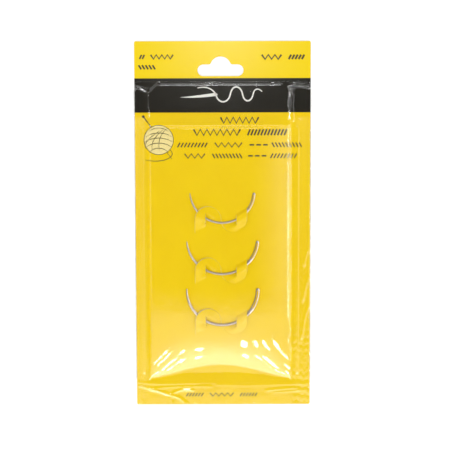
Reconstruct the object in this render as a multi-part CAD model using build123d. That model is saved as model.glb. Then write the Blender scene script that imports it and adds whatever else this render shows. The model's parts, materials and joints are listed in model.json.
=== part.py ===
from build123d import *
from collections import namedtuple
import math
import os

os.makedirs("parts", exist_ok=True)

# A hanging card of curved needles with a clear cover that slides on the card's long edges.
# The pack lies on its back: X is the card's width, Y runs up to its header, Z out of its front.
# The origin is under the middle of the pack, on the surface that it lies on. Lengths are in millimetres.

# Driving sizes of the board
card_width = 67.0
card_thickness = 0.4
card_corner_radius = 0.6

# The hang slot through the header
slot_bar_length = 17.5
slot_bar_height = 4.4
slot_bump_radius = 4.0
slot_total_height = 7.4
slot_corner_radius = 0.8
slot_top_margin = 5.8
slot_offset_x = -0.75

# Each needle goes through a pair of round flaps, freed by one thin cut in the shape of an S
flap_radius = 5.0
flap_leg_left = 5.2
flap_leg_right = 4.4
flap_cut_width = 0.16
flap_middle_x = -0.75
flap_middle_above_needle = 1.3
bridge_half_width = 2.8
bridge_clearance = 0.07

# The smallest needle, at the top
wire_24 = 0.76
length_24 = 37.2
curve_radius_24 = 12.3
head_width_24 = 1.08
head_thickness_24 = 0.62
eye_length_24 = 6.0
eye_width_24 = 0.48

# The middle needle
wire_22 = 0.86
length_22 = 41.3
curve_radius_22 = 13.6
head_width_22 = 1.22
head_thickness_22 = 0.70
eye_length_22 = 6.8
eye_width_22 = 0.56

# The largest needle, at the bottom
wire_20 = 1.02
length_20 = 44.2
curve_radius_20 = 13.65
head_width_20 = 1.42
head_thickness_20 = 0.80
eye_length_20 = 7.6
eye_width_20 = 0.66

# What the three needles share
needle_middle_x = -0.3
needle_pitch = 19.8
first_needle_drop = 37.7
last_needle_foot_room = 21.6
needle_gap = 0.04
point_taper_length = 9.0
point_shares = [(0.0, 0.36), (0.12, 0.56), (0.35, 0.78), (0.65, 0.93), (1.0, 1.0)]
neck_length = 3.0
eye_end_wall = 0.75
head_round_length = 0.7
head_round_shares = [(1.0, 1.0), (0.5, 0.87), (0.18, 0.6), (0.0, 0.3)]

# The clear cover: one sheet of film with a bubble, a raised lip and folded sides
film = 0.25
slide_gap = 0.1
edge_gap = 0.25
header_height = 15.2
cover_foot_inset = 0.2
cover_corner_radius = 1.2
fold_head_inset = 2.7
fold_foot_inset = 10.1
fold_back_width = 5.5
left_strip_width = 4.9
right_strip_width = 7.3
bubble_head_inset = 16.3
bubble_foot_inset = 9.4
bubble_side_height = 1.2
bubble_height = 6.0
bubble_side_run = 0.5
bubble_ramp_length = 11.8
bubble_head_run = 1.6
bubble_foot_crest_radius = 3.0
bubble_head_crest_radius = 0.8
tunnel_rise = 1.7
tunnel_corner_radius = 2.4
bead_left_inset = 9.3
bead_right_inset = 10.6
bead_width = 1.3
bead_height = 0.35
bead_edge_inset = 0.45

# One overrun for everything that is cut right through
overrun = 1.0

# Levels, from the surface up: folded film, gap, board, gap, film
card_back_z = film + slide_gap
card_front_z = card_back_z + card_thickness
film_under_z = card_front_z + slide_gap
film_top_z = film_under_z + film

Needle = namedtuple("Needle", "name wire length radius head_width head_thickness eye_length eye_width")
NEEDLES = [
    Needle("needle_size_24", wire_24, length_24, curve_radius_24,
           head_width_24, head_thickness_24, eye_length_24, eye_width_24),
    Needle("needle_size_22", wire_22, length_22, curve_radius_22,
           head_width_22, head_thickness_22, eye_length_22, eye_width_22),
    Needle("needle_size_20", wire_20, length_20, curve_radius_20,
           head_width_20, head_thickness_20, eye_length_20, eye_width_20),
]
LOW_POINT_ANGLE = 270

# Lengths down the pack: the bubble holds the row of needles, and the cover and the card hold the bubble
bubble_length = first_needle_drop + (len(NEEDLES) - 1) * needle_pitch + last_needle_foot_room
cover_length = bubble_head_inset + bubble_length + bubble_foot_inset
card_height = header_height + cover_length + cover_foot_inset

# Places on the card and on the cover
card_head_y = card_height / 2
cover_head_y = card_head_y - header_height
cover_foot_y = cover_head_y - cover_length
cover_half_width = card_width / 2 + edge_gap + film
fold_foot_y = cover_foot_y + fold_foot_inset
fold_head_y = cover_head_y - fold_head_inset
bubble_head_y = cover_head_y - bubble_head_inset
bubble_foot_y = bubble_head_y - bubble_length
bubble_width = card_width - left_strip_width - right_strip_width
bubble_middle_x = (left_strip_width - right_strip_width) / 2


def block(low, high):
    """A box between two corners."""
    size = [b - a for a, b in zip(low, high)]
    return Pos(*low) * Box(*size, align=(Align.MIN, Align.MIN, Align.MIN))


def upright(face, low_z, high_z):
    """A flat outline drawn in X and Y, made solid between two levels."""
    return extrude(Pos(0, 0, low_z) * face, amount=high_z - low_z)


# Places along a needle's curve

def needle_low_y(order):
    """The height of a curve's lowest point on the card."""
    return bubble_head_y - first_needle_drop - order * needle_pitch


def needle_centre(needle, order):
    """The middle of the curve, at the height of the wire's middle line."""
    middle_z = card_front_z + needle_gap + needle.wire / 2
    return Vector(needle_middle_x, needle_low_y(order) + needle.radius, middle_z)


def along(needle, length):
    """The angle that a length of wire takes on the needle's circle, in degrees."""
    return math.degrees(length / needle.radius)


def point_angle(needle):
    """Where the needle's point is on its circle."""
    return LOW_POINT_ANGLE - along(needle, needle.length) / 2


def head_angle(needle):
    """Where the end of the needle's head is on its circle."""
    return LOW_POINT_ANGLE + along(needle, needle.length) / 2


def station(needle, order, angle):
    """A plane square to the wire at an angle: its X points away from the circle's middle, its Y along Z."""
    turn = math.radians(angle)
    outward = Vector(math.cos(turn), math.sin(turn), 0)
    forward = Vector(-math.sin(turn), math.cos(turn), 0)
    place = needle_centre(needle, order) + outward * needle.radius
    return Plane(origin=place, x_dir=outward, z_dir=-forward)


def circle_axis(needle, order):
    """The line that the needle turns about as it slides along its own curve."""
    return Axis(needle_centre(needle, order), (0, 0, 1))


# The board

def hang_slot():
    """The outline of the hang slot: a bar with round ends and a bump above its middle."""
    foot_y = card_head_y - slot_top_margin - slot_total_height
    bar_top_y = foot_y + slot_bar_height
    bump_y = foot_y + slot_total_height - slot_bump_radius
    above_bar_foot = Pos(slot_offset_x, foot_y) * Rectangle(
        2 * slot_bump_radius, slot_total_height, align=(Align.CENTER, Align.MIN))
    bar = Pos(slot_offset_x, (foot_y + bar_top_y) / 2) * SlotOverall(slot_bar_length, slot_bar_height)
    bump = (Pos(slot_offset_x, bump_y) * Circle(slot_bump_radius)) & above_bar_foot
    outline = bar + bump
    inner_corners = [v for v in outline.vertices() if abs(v.Y - bar_top_y) < slot_corner_radius / 2
                     and abs(v.X - slot_offset_x) < slot_bump_radius]
    return fillet(inner_corners, slot_corner_radius)


def flap_centre(order, side):
    """The middle of the left flap, side -1, or of the right flap, side 1."""
    return (flap_middle_x + side * flap_radius, needle_low_y(order) + flap_middle_above_needle)


def flap_leg(side):
    """How far the cut runs straight on past the flap's outer side."""
    return flap_leg_left if side < 0 else flap_leg_right


def flap_cut(order, side):
    """One half of the S: the cut goes half round the flap, then straight on past its outer side."""
    x, y = flap_centre(order, side)
    outer = flap_radius + flap_cut_width / 2
    inner = flap_radius - flap_cut_width / 2
    ring = Circle(outer) - Circle(inner)
    half = Pos(0, -side * outer / 2) * Rectangle(2 * outer, outer)
    arc = ring & half
    leg = Pos(side * flap_radius, side * flap_leg(side) / 2) * Rectangle(flap_cut_width, flap_leg(side))
    return Pos(x, y) * (arc + leg)


def bridge_outline(order, side):
    """The outer half of a flap, inside the cut, where the board bridges the needle."""
    x, y = flap_centre(order, side)
    reach = flap_radius - flap_cut_width / 2
    disc = Circle(reach) & Pos(side * reach / 2, -side * reach / 2) * Rectangle(reach, reach)
    leg = Pos(side * reach / 2, side * flap_leg(side) / 2) * Rectangle(reach, flap_leg(side))
    return Pos(x, y) * (disc + leg)


def bridge_rise(needle):
    """How far the board's underside is lifted above its own front to clear the wire."""
    return needle_gap + needle.wire + bridge_clearance + card_thickness


def bridge_line(needle, level):
    """The bridge's curve across the wire, from foot to foot, made of arcs that run into each other."""
    half = bridge_half_width
    rise = bridge_rise(needle)
    left_foot = Vector(needle.radius - half, level)
    left_bend = Vector(needle.radius - half / 2, level + rise / 2)
    right_bend = Vector(needle.radius + half / 2, level + rise / 2)
    right_foot = Vector(needle.radius + half, level)
    up = TangentArc(left_foot, left_bend, tangent=(1, 0))
    crest = TangentArc(left_bend, right_bend, tangent=up % 1)
    down = TangentArc(right_bend, right_foot, tangent=crest % 1)
    return [up, crest, down]


def bridge_ring(needle, order):
    """The bridge's section turned all the way round the needle's circle."""
    upper = bridge_line(needle, card_thickness)
    lower = bridge_line(needle, 0)
    ends = [Line(upper[0] @ 0, lower[0] @ 0), Line(upper[2] @ 1, lower[2] @ 1)]
    section = make_face(upper + lower + ends)
    centre = needle_centre(needle, order)
    place = Plane(origin=(centre.X, centre.Y, card_back_z), x_dir=(1, 0, 0), z_dir=(0, -1, 0))
    return revolve(place * section, axis=circle_axis(needle, order))


def hanging_card():
    """The board with its hang slot, its cuts and the flaps that bridge the needles."""
    outline = RectangleRounded(card_width, card_height, card_corner_radius) - hang_slot()
    board = upright(outline, card_back_z, card_front_z)
    for order, needle in enumerate(NEEDLES):
        centre = needle_centre(needle, order)
        lane = (Circle(needle.radius + bridge_half_width) - Circle(needle.radius - bridge_half_width))
        lane = Pos(centre.X, centre.Y) * lane
        ring = bridge_ring(needle, order)
        for side in (-1, 1):
            cut = flap_cut(order, side)
            board -= upright(cut, card_back_z - overrun, card_front_z + overrun)
            window = lane & bridge_outline(order, side)
            board -= upright(window, card_back_z - overrun, card_front_z + overrun)
            column = upright(bridge_outline(order, side), card_back_z - overrun,
                             card_front_z + bridge_rise(needle) + overrun)
            board += ring & column
    return board


# The needles

def point_end(needle, order):
    """The tapered end with its blunt, round tip."""
    tip_share = point_shares[0][1]
    tip_radius = tip_share * needle.wire / 2
    start = point_angle(needle) + along(needle, tip_radius)
    taper = along(needle, point_taper_length - tip_radius)
    sections = []
    for place_share, size_share in point_shares:
        angle = start + taper * place_share
        sections.append(station(needle, order, angle) * Circle(size_share * needle.wire / 2))
    tip = Pos(station(needle, order, start).origin) * Sphere(tip_radius)
    return loft(sections) + tip


def shank(needle, order):
    """The plain wire between the taper and the neck."""
    start = point_angle(needle) + along(needle, point_taper_length)
    stop = head_angle(needle) - along(needle, head_length(needle))
    section = station(needle, order, start) * Circle(needle.wire / 2)
    return revolve(section, axis=circle_axis(needle, order), revolution_arc=stop - start)


def head_length(needle):
    """The neck and the flattened head together."""
    return neck_length + needle.eye_length + 2 * eye_end_wall


def head_end(needle, order):
    """The flattened head with its long eye."""
    last = head_angle(needle)
    start = last - along(needle, head_length(needle))
    wide = needle.head_width / 2
    thin = needle.head_thickness / 2
    wire = needle.wire / 2
    full = start + along(needle, neck_length)
    rounding = last - along(needle, head_round_length)
    neck = loft([
        station(needle, order, start) * Ellipse(wire, wire),
        station(needle, order, (start + full) / 2) * Ellipse((wide + wire) / 2, (thin + wire) / 2),
        station(needle, order, full) * Ellipse(wide, thin),
    ])
    body = revolve(station(needle, order, full) * Ellipse(wide, thin),
                   axis=circle_axis(needle, order), revolution_arc=rounding - full)
    end_sections = []
    for place_share, size_share in head_round_shares:
        angle = last - along(needle, head_round_length) * place_share
        end_sections.append(station(needle, order, angle) * Ellipse(wide * size_share, thin * size_share))
    return neck + body + loft(end_sections) - eye(needle, order)


def eye(needle, order):
    """The long hole through the head, with round ends."""
    half = needle.eye_width / 2
    stop = head_angle(needle) - along(needle, eye_end_wall + half)
    start = head_angle(needle) - along(needle, eye_end_wall + needle.eye_length - half)
    tall = needle.wire + 2 * overrun
    section = station(needle, order, start) * Rectangle(needle.eye_width, tall)
    slot = revolve(section, axis=circle_axis(needle, order), revolution_arc=stop - start)
    for angle in (start, stop):
        slot += Pos(station(needle, order, angle).origin) * Cylinder(half, tall)
    return slot


def curved_needle(needle, order):
    """One needle, from its point on the left to its eye on the right."""
    return point_end(needle, order) + shank(needle, order) + head_end(needle, order)


# The cover

def raised_outline(grow):
    """The raised part above the bubble: a tunnel for the needles that widens into the lip's full width."""
    half = bubble_width / 2 + grow
    foot = bubble_head_y - bubble_head_run - overrun
    head = cover_head_y + overrun
    lip_foot = fold_head_y - grow
    tunnel = Pos(bubble_middle_x, (foot + head) / 2) * Rectangle(2 * half, head - foot)
    lip = Pos(0, (lip_foot + head) / 2) * Rectangle(2 * (cover_half_width + overrun), head - lip_foot)
    outline = tunnel + lip
    corners = [v for v in outline.vertices() if abs(v.Y - lip_foot) < film / 2
               and abs(v.X) < cover_half_width]
    return fillet(corners, tunnel_corner_radius - grow)


def raised_form(grow):
    """The space under the tunnel and the lip, or with grow the outside of the film over it."""
    low = film_under_z - overrun
    return upright(raised_outline(grow), low, film_under_z + tunnel_rise + grow)


def bead_form(grow):
    """The stiffening bead along the lip: the top of a long thin cylinder."""
    half = bead_width / 2
    radius = (half ** 2 + bead_height ** 2) / (2 * bead_height) + grow
    left_x = bead_left_inset - card_width / 2 - grow
    right_x = card_width / 2 - bead_right_inset + grow
    middle_y = cover_head_y - bead_edge_inset - half
    lip_under_z = film_under_z + tunnel_rise
    middle_z = lip_under_z + bead_height + grow - radius
    rod = Rot(0, 90, 0) * Cylinder(radius, right_x - left_x)
    rod = Pos((left_x + right_x) / 2, middle_y, middle_z) * rod
    keep = block((left_x, middle_y - radius, lip_under_z), (right_x, middle_y + radius, middle_z + radius))
    return rod & keep


def bubble_form(grow):
    """The space inside the bubble, or with grow its outside: a low vault with a sloping foot."""
    half = bubble_width / 2 - bubble_side_run + grow
    side_z = film_under_z + bubble_side_height + grow
    crown_z = film_under_z + bubble_height + grow
    low_z = film_under_z - overrun
    foot_half = bubble_width / 2 + grow
    section = make_face([
        ThreePointArc((-half, side_z), (0, crown_z), (half, side_z)),
        Line((half, side_z), (foot_half, film_under_z)),
        Line((foot_half, film_under_z), (foot_half, low_z)),
        Line((foot_half, low_z), (-foot_half, low_z)),
        Line((-foot_half, low_z), (-foot_half, film_under_z)),
        Line((-foot_half, film_under_z), (-half, side_z)),
    ])
    across = Plane(origin=(bubble_middle_x, bubble_head_y + overrun, 0), x_dir=(1, 0, 0), z_dir=(0, -1, 0))
    vault = extrude(across * section, amount=bubble_length + 2 * overrun)
    ramp_slope = math.atan2(bubble_height, bubble_ramp_length)
    foot_y = bubble_foot_y - grow / math.sin(ramp_slope)
    head_slope = math.atan2(bubble_height, bubble_head_run)
    head_y = bubble_head_y + grow / math.sin(head_slope)
    tall = bubble_height + grow + overrun
    top_z = film_under_z + tall
    profile = Polyline(
        (foot_y, low_z), (foot_y, film_under_z), (foot_y + tall / math.tan(ramp_slope), top_z),
        (head_y - tall / math.tan(head_slope), top_z), (head_y, film_under_z), (head_y, low_z), close=True)
    sideways = Plane(origin=(bubble_middle_x - foot_half - overrun, 0, 0), x_dir=(0, 1, 0), z_dir=(1, 0, 0))
    ends = extrude(sideways * make_face(profile), amount=2 * (foot_half + overrun))
    crest_height = bubble_height + grow
    foot_crest = (bubble_middle_x, foot_y + crest_height / math.tan(ramp_slope), crown_z)
    head_crest = (bubble_middle_x, head_y - crest_height / math.tan(head_slope), crown_z)
    form = vault & ends
    form = fillet(form.edges().sort_by_distance(foot_crest)[0], bubble_foot_crest_radius + grow)
    return fillet(form.edges().sort_by_distance(head_crest)[0], bubble_head_crest_radius + grow)


def fold_section():
    """The folded side seen along Y: film round the board's edge in a half circle, and back behind it."""
    outer = film_top_z / 2
    inner = outer - film
    reach = film + fold_back_width
    return make_face([
        Line((reach, 0), (outer, 0)),
        ThreePointArc((outer, 0), (0, outer), (outer, film_top_z)),
        Line((outer, film_top_z), (reach, film_top_z)),
        Line((reach, film_top_z), (reach, film_under_z)),
        Line((reach, film_under_z), (outer, film_under_z)),
        ThreePointArc((outer, film_under_z), (outer - inner, outer), (outer, film)),
        Line((outer, film), (reach, film)),
        Line((reach, film), (reach, 0)),
    ])


def folded_side():
    """The fold along the left edge of the board."""
    place = Plane(origin=(-cover_half_width, fold_head_y, 0), x_dir=(1, 0, 0), z_dir=(0, -1, 0))
    return extrude(place * fold_section(), amount=fold_head_y - fold_foot_y)


def clear_cover():
    """The whole cover as one sheet of even thickness."""
    flat = Pos(0, (cover_head_y + cover_foot_y) / 2) * RectangleRounded(
        card_width, cover_length, cover_corner_radius)
    sheet = upright(flat, film_under_z, film_top_z)
    raised = raised_form(film) & upright(flat, film_under_z, film_top_z + bubble_height)
    outside = sheet + raised + bead_form(film) + (bubble_form(film) & above_film())
    inside = raised_form(0) + bubble_form(0) + bead_form(0)
    left = folded_side()
    return outside - inside + left + mirror(left, about=Plane.YZ)


def above_film():
    """Everything above the underside of the flat film."""
    reach = card_height
    return block((-reach, -reach, film_under_z), (reach, reach, film_under_z + reach))


def write(name, shape):
    shape.label = name
    export_step(shape, f"parts/{name}.step")


write("hanging_card", hanging_card())
write("clear_cover", clear_cover())
for place, size in enumerate(NEEDLES):
    write(size.name, curved_needle(size, place))
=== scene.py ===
import json
import math
import random

import bmesh
import bpy
import numpy as np
from mathutils import Euler, Matrix, Vector
from mathutils.geometry import delaunay_2d_cdt

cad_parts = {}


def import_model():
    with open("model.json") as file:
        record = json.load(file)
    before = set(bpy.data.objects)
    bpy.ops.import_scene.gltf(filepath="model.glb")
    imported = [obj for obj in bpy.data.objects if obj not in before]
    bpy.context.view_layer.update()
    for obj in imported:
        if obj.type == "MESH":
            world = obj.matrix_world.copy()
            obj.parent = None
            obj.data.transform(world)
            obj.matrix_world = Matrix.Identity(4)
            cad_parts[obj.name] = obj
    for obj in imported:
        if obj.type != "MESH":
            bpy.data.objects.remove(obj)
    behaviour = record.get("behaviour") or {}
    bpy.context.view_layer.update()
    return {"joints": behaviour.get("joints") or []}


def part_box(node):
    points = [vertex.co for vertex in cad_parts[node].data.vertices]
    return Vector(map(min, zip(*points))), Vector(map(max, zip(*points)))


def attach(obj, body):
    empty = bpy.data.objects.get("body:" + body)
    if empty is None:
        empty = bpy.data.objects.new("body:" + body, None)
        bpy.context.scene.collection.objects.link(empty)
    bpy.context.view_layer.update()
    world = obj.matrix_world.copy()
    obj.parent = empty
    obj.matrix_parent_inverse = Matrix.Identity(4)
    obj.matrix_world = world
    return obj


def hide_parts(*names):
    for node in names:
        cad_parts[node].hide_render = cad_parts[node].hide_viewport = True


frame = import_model()

# Sizes and places are in millimetres in the frame's own axes, and meshes are written in metres
MM = 0.001


def frame_box(node):
    """A frame piece's lowest and highest corners in millimetres."""
    low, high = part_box(node)
    return low / MM, high / MM


card_low, card_high = frame_box("hanging_card")
cover_low, cover_high = frame_box("clear_cover")

# The board
card_thickness = 0.4
card_half_width = card_high.x
card_half_height = card_high.y
card_back = card_low.z
card_front = card_back + card_thickness
card_corner = 0.6
corner_steps = 4

# The hang slot
slot_middle_x = -0.75
slot_half_length = 8.75
slot_bar_height = 4.4
slot_height = 7.4
slot_bump_radius = 4
slot_corner = 0.8
slot_top = card_half_height - 5.8

# The flaps that hold each needle
flap_radius = 5
flap_leg = {-1: 5.2, 1: 4.4}
flap_middle_x = -0.75
flap_above_needle = 1.3
cut_width = 0.05
slit_half_length = 1.6
slit_shift = 0.9
slit_width = 0.03
bridge_clearance = 0.09
bridge_flat = 0.45
free_edge_fall = 0.6
free_edge_reach = 4
inner_press_width = 1.9
inner_reach = 4.6
fold_soft = 1.2
grid_coarse = 2.6
grid_fine = 0.34
grid_wall_gap = 0.14
zone_spare = (1.6, 2.4)

# The needles
needle_gap = 0.04
needle_length = {"24": 37.2, "22": 41.3, "20": 44.2}
head_width = {"24": 1.08, "22": 1.22, "20": 1.42}
head_thickness = {"24": 0.62, "22": 0.7, "20": 0.8}
eye_length = {"24": 6, "22": 6.8, "20": 7.6}
eye_width = {"24": 0.48, "22": 0.56, "20": 0.66}
eye_end_wall = 0.75
neck_length = 3
taper_length = 9

# The cover's film
film = 0.25
slide_gap = 0.1
film_flat = card_front + slide_gap + film / 2
fold_radius = (film_flat - film / 2) / 2
cover_head = cover_high.y
cover_foot = cover_low.y
cover_corner = 1.2
fold_head = cover_head - 2.7
fold_foot = cover_foot + 10.1
fold_reach = 5.5
tunnel_rise = 1.7
tunnel_corner = 2.4
tunnel_step = 0.6
bubble_left = -28.6
bubble_right = 26.2
bubble_middle = (bubble_left + bubble_right) / 2
bubble_half = (bubble_right - bubble_left) / 2
bubble_head = cover_head - 16.3
tunnel_foot = bubble_head - 1
bubble_foot = cover_foot + 9.4
bubble_side = 1.9
bubble_height = 6
bubble_side_run = 1.1
bubble_head_run = 1.6
bubble_ramp_slope = 0.52
bubble_ramp_bow = 0.009
bubble_ramp_bow_run = 12
bubble_crest_soft = 0.4
bubble_wall_soft = 0.5
bubble_head_soft = 1.1
bubble_droops = ((-8, 850), (-33, 200), (-44, 120))
bubble_droop_side = 0.3


def smooth(share):
    """An even curve from 0 to 1, for numbers and arrays."""
    share = np.clip(share, 0, 1)
    return share * share * (3 - 2 * share)


def lower_of(a, b, soft):
    """The lower of two heights, rounded where they differ by less than soft."""
    near = np.maximum(soft - np.abs(a - b), 0) / soft
    return np.minimum(a, b) - near * near * soft / 4


def mesh_object(name, verts, faces, *materials):
    """A mesh in the scene, from points in millimetres."""
    mesh = bpy.data.meshes.new(name)
    mesh.from_pydata([(x * MM, y * MM, z * MM) for x, y, z in verts], [], faces)
    mesh.update()
    for material in materials:
        mesh.materials.append(material)
    made = bpy.data.objects.new(name, mesh)
    bpy.context.scene.collection.objects.link(made)
    return made


def new_piece(name, verts, faces, body, *materials):
    """A mesh piece riding on a body, shaded smooth."""
    piece = mesh_object(name, verts, faces, *materials)
    piece.data.shade_smooth()
    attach(piece, body)
    return piece


# Material helpers

class Graph:
    """The node tree of a material or of the world, with short calls for its nodes."""

    def __init__(self, name, world=False):
        self.owner = (bpy.data.worlds if world else bpy.data.materials).new(name)
        self.owner.use_nodes = True
        self.tree = self.owner.node_tree
        self.tree.nodes.clear()
        self.output = self.node("ShaderNodeOutputWorld" if world else "ShaderNodeOutputMaterial")

    def node(self, kind, inputs=None, **settings):
        made = self.tree.nodes.new(kind)
        for key, value in settings.items():
            setattr(made, key, value)
        for key, value in (inputs or {}).items():
            if isinstance(value, bpy.types.NodeSocket):
                self.tree.links.new(value, made.inputs[key])
            else:
                made.inputs[key].default_value = value
        return made

    def first(self, kind, inputs=None, **settings):
        """The first output of a new node."""
        return self.node(kind, inputs, **settings).outputs[0]

    def math(self, operation, a, b=0):
        return self.first("ShaderNodeMath", {0: a, 1: b}, operation=operation)

    def plus(self, a, b):
        return self.math("ADD", a, b)

    def times(self, a, b):
        return self.math("MULTIPLY", a, b)

    def place(self):
        """The point in the frame's own axes, in millimetres."""
        coordinates = self.node("ShaderNodeTexCoord").outputs["Object"]
        return self.first("ShaderNodeVectorMath", {0: coordinates, "Scale": 1 / MM}, operation="SCALE")

    def axes(self, place):
        """The X and Y of a point."""
        return self.node("ShaderNodeSeparateXYZ", {0: place}).outputs[:2]

    def noise(self, vector, scale, detail=2, roughness=0.5):
        return self.first("ShaderNodeTexNoise", {
            "Vector": vector, "Scale": scale, "Detail": detail, "Roughness": roughness})

    def mix(self, share, a, b):
        """Colour a where share is 0, and b where it is 1."""
        return self.node("ShaderNodeMix", {"Factor": share, 6: a, 7: b}, data_type="RGBA").outputs[2]

    def ramp(self, value, low, high):
        """0 below low, 1 above high, a soft step between them."""
        return self.first("ShaderNodeMapRange", {"Value": value, "From Min": low, "From Max": high},
                          interpolation_type="SMOOTHSTEP")

    def bump(self, height, strength, distance):
        return self.first("ShaderNodeBump", {"Height": height, "Strength": strength, "Distance": distance})

    def glow(self, colour, strength):
        return self.first("ShaderNodeEmission", {"Color": colour, "Strength": strength})

    def blend(self, share, a, b):
        """Shader a where share is 0, and b where it is 1."""
        return self.first("ShaderNodeMixShader", {0: share, 1: a, 2: b})

    def solid(self, inputs):
        return self.finish(self.first("ShaderNodeBsdfPrincipled", inputs))

    def finish(self, shader):
        self.tree.links.new(shader, self.output.inputs["Surface"])
        return self.owner


# Colours, and where the printed band lies
WHITE = (1, 1, 1, 1)
YELLOW = (0.86, 0.6, 0.0015, 1)
YELLOW_DEEP = (0.82, 0.55, 0.001, 1)
YELLOW_BARE = (0.76, 0.55, 0.001, 1)
YELLOW_FLECK = (0.9, 0.7, 0.03, 1)
INK_BLACK = (0.018, 0.016, 0.012, 1)
INK_BLACK_DUST = (0.035, 0.032, 0.022, 1)
INK_BROWN = (0.05, 0.034, 0.008, 1)
INK_WHITE = (0.8, 0.79, 0.74, 1)
INK_CREAM = (0.86, 0.72, 0.3, 1)
# The board's core tan, partly its own colour and partly painted shade: darker so that the cut lines show as
# shaded
CORE_TAN_AND_CUT_SHADE = (0.6, 0.5, 0.28, 1)
BOARD_BACK = (0.66, 0.65, 0.62, 1)
STEEL_DARK = (0.39, 0.33, 0.3, 1)
STEEL_PALE = (0.49, 0.42, 0.39, 1)
FILM_TINT = (0.985, 0.985, 0.98, 1)
FLOOR_DARK = (0.6, 0.6, 0.6, 1)
FLOOR_PALE = (0.62, 0.62, 0.62, 1)
band_head = 56
band_foot = 43


def printed_board():
    """The card's front: yellow ink with a near-black band, under a thin varnish."""
    edge_soft, edge_ragged, bare_soft = 0.03, 0.08, 0.5
    cloud_share, fleck_share, dust_share, grain_share = 0.45, 0.12, 0.4, 0.15
    graph = Graph("printed_board")
    place = graph.place()
    y = graph.axes(place)[1]
    ragged = graph.times(graph.math("SUBTRACT", graph.noise(place, 3), 0.5), edge_ragged)
    edge_y = graph.plus(y, ragged)
    above = graph.ramp(edge_y, band_foot - edge_soft, band_foot + edge_soft)
    below = graph.ramp(edge_y, band_head + edge_soft, band_head - edge_soft)
    clouds = graph.ramp(graph.noise(place, 0.09, 3), 0.35, 0.7)
    yellow = graph.mix(graph.times(clouds, cloud_share), YELLOW, YELLOW_DEEP)
    grain = graph.noise(place, 5, 2, 0.6)
    yellow = graph.mix(graph.times(graph.ramp(grain, 0.55, 0.8), fleck_share), yellow, YELLOW_FLECK)
    yellow = graph.mix(graph.ramp(y, cover_high.y - bare_soft, cover_high.y + bare_soft), yellow, YELLOW_BARE)
    black = graph.mix(graph.times(graph.ramp(grain, 0.5, 0.8), dust_share), INK_BLACK, INK_BLACK_DUST)
    height = graph.plus(graph.noise(place, 0.8, 3), graph.times(grain, grain_share))
    return graph.solid({
        "Base Color": graph.mix(graph.times(above, below), yellow, black), "Roughness": 0.16,
        "Specular IOR Level": 0.2, "Normal": graph.bump(height, 0.05, 0.0001)})


def plain_board(name, colour, grain_scale):
    """Bare board with fibres, as on the cut edges and the back."""
    graph = Graph(name)
    fibres = graph.noise(graph.place(), grain_scale, 4, 0.65)
    shade = 0.86
    darker = tuple(shade * value for value in colour[:3]) + (1,)
    return graph.solid({
        "Base Color": graph.mix(graph.ramp(fibres, 0.35, 0.65), darker, colour), "Roughness": 0.85,
        "Specular IOR Level": 0.2, "Normal": graph.bump(fibres, 0.25, 0.0001)})


def printing_ink(name, colour, gloss):
    """A solid printed colour with the small unevenness of ink."""
    graph = Graph(name)
    spots = graph.ramp(graph.noise(graph.place(), 7, 2, 0.6), 0.5, 0.85)
    worn = tuple(min(1, value * 1.25 + 0.01) for value in colour[:3]) + (1,)
    tint = graph.mix(graph.times(spots, 0.5), colour, worn)
    return graph.solid({"Base Color": tint, "Roughness": gloss, "Specular IOR Level": 0.4})


def needle_steel():
    """Plated steel with fine draw lines along the wire."""
    stretch, line_rough, least_rough = (0.6, 26, 1), 0.14, 0.38
    graph = Graph("needle_steel")
    along = graph.first("ShaderNodeUVMap", uv_map="along")
    lines = graph.noise(graph.first("ShaderNodeMapping", {"Vector": along, "Scale": stretch}), 3, 3, 0.6)
    clouds = graph.noise(graph.place(), 0.7, 2)
    return graph.solid({
        "Base Color": graph.mix(clouds, STEEL_DARK, STEEL_PALE), "Metallic": 1,
        "Roughness": graph.plus(graph.times(lines, line_rough), least_rough),
        "Normal": graph.bump(lines, 0.08, 0.00003)})


def clear_film():
    """Clear thin plastic: light goes straight through, and the rest shines off both faces."""
    bend, ripple_share, scuff_rough, least_rough = 1.5, 0.08, 0.05, 0.035
    left_press, right_press, press_full, press_none = 0.2, 0.12, 40, 43
    graph = Graph("clear_film")
    place = graph.place()
    ripple = graph.plus(graph.noise(place, 0.22), graph.times(graph.noise(place, 1.4), ripple_share))
    normal = graph.bump(ripple, 0.025, 0.001)
    back = graph.node("ShaderNodeNewGeometry").outputs["Backfacing"]
    index = graph.plus(graph.times(back, 1 / bend - bend), bend)
    share = graph.first("ShaderNodeFresnel", {"IOR": index, "Normal": normal})
    scuffs = graph.ramp(graph.noise(place, 0.5, 4, 0.7), 0.55, 0.8)
    x, y = graph.axes(place)
    pressed = graph.plus(graph.times(graph.ramp(x, bubble_left + 0.5, bubble_left - 2), left_press),
                         graph.times(graph.ramp(x, bubble_right, bubble_right + 2.5), right_press))
    rough = graph.plus(graph.plus(graph.times(scuffs, scuff_rough), least_rough),
                       graph.times(pressed, graph.ramp(y, press_none, press_full)))
    through = graph.first("ShaderNodeBsdfTransparent", {"Color": FILM_TINT})
    shine = graph.first("ShaderNodeBsdfAnisotropic", {"Color": WHITE, "Roughness": rough, "Normal": normal})
    return graph.finish(graph.blend(share, through, shine))


# The board, with its cuts and the flaps that bridge the needles

def arc(middle, radius, start, stop, steps):
    """Points on an arc, with angles in degrees."""
    turns = [math.radians(start + (stop - start) * i / steps) for i in range(steps + 1)]
    return [(middle[0] + radius * math.cos(t), middle[1] + radius * math.sin(t)) for t in turns]


def path_sides(path, widths):
    """The points beside a path, to its left and to its right, half of the width away."""
    left, right = [], []
    for i, ((x, y), width) in enumerate(zip(path, widths)):
        (x0, y0), (x1, y1) = path[max(i - 1, 0)], path[min(i + 1, len(path) - 1)]
        size = math.hypot(x1 - x0, y1 - y0) or 1
        nx, ny = (y0 - y1) / size * width / 2, (x1 - x0) / size * width / 2
        left.append((x + nx, y + ny))
        right.append((x - nx, y - ny))
    return left, right


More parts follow.
